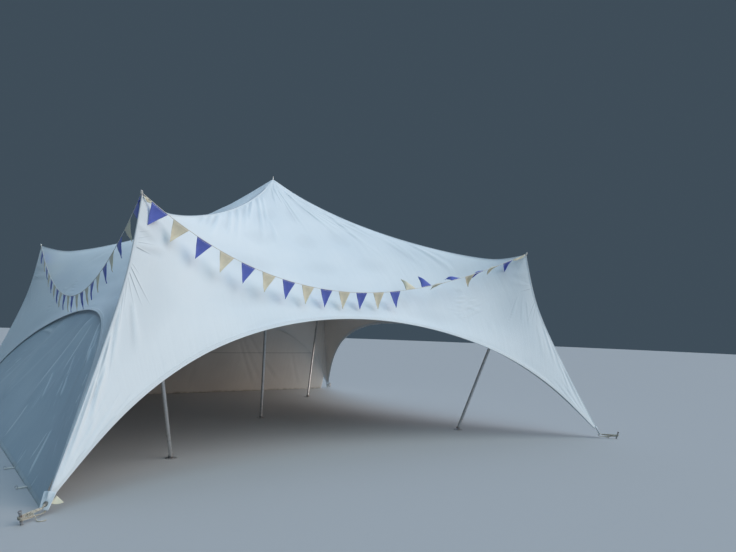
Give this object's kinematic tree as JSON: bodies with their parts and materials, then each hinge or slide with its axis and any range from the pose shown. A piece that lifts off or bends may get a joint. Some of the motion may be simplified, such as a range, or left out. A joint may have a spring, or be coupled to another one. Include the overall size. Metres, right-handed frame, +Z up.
{
  "type": "stretch tent",
  "caption": "White stretch-fabric marquee on leaning poles with high open arches, roped corner legs and closed walls on two sides, for outdoor shelter.",
  "frame": {"origin": "middle of the tent's plan on the ground", "axes": "+Z up, the open front arch faces -Y, +X to the right seen from the front"},
  "size_m": [9.5044, 9.5044, 4.83],
  "materials": {
    "canopy_cloth": "matte stretch weave",
    "hem_cloth": "doubled cloth and webbing",
    "wall_cloth": "matte weave",
    "bunting_cloth": "thin cotton, flags by turns purple-blue and cream",
    "pole_metal": "satin tube",
    "stake_steel": "dull galvanised steel",
    "rope": "braided rope"
  },
  "bodies": {
    "root": {"canopy_front": "canopy_cloth", "canopy_right": "canopy_cloth", "canopy_back": "canopy_cloth", "canopy_left": "canopy_cloth", "arch_hem_front": "hem_cloth", "arch_hem_right": "hem_cloth", "arch_hem_back": "hem_cloth", "arch_hem_left": "hem_cloth", "seam_band_front_left": "hem_cloth", "seam_band_front_right": "hem_cloth", "seam_band_back_right": "hem_cloth", "seam_band_back_left": "hem_cloth", "side_wall_back": "wall_cloth", "side_wall_left": "wall_cloth", "pole_front_left": "pole_metal", "pole_head_front_left": "pole_metal", "pole_base_front_left": "stake_steel", "pole_front_right": "pole_metal", "pole_head_front_right": "pole_metal", "pole_base_front_right": "stake_steel", "pole_back_right": "pole_metal", "pole_head_back_right": "pole_metal", "pole_base_back_right": "stake_steel", "pole_back_left": "pole_metal", "pole_head_back_left": "pole_metal", "pole_base_back_left": "stake_steel", "pole_middle": "pole_metal", "pole_head_middle": "pole_metal", "pole_base_middle": "stake_steel", "corner_patch_front_left": "hem_cloth", "stake_front_left": "stake_steel", "lashing_front_left": "rope", "corner_patch_front_right": "hem_cloth", "stake_front_right": "stake_steel", "lashing_front_right": "rope", "corner_patch_back_right": "hem_cloth", "stake_back_right": "stake_steel", "lashing_back_right": "rope", "corner_patch_back_left": "hem_cloth", "stake_back_left": "stake_steel", "lashing_back_left": "rope", "bunting_front": "bunting_cloth", "bunting_left": "bunting_cloth"}
  },
  "joints": []
}
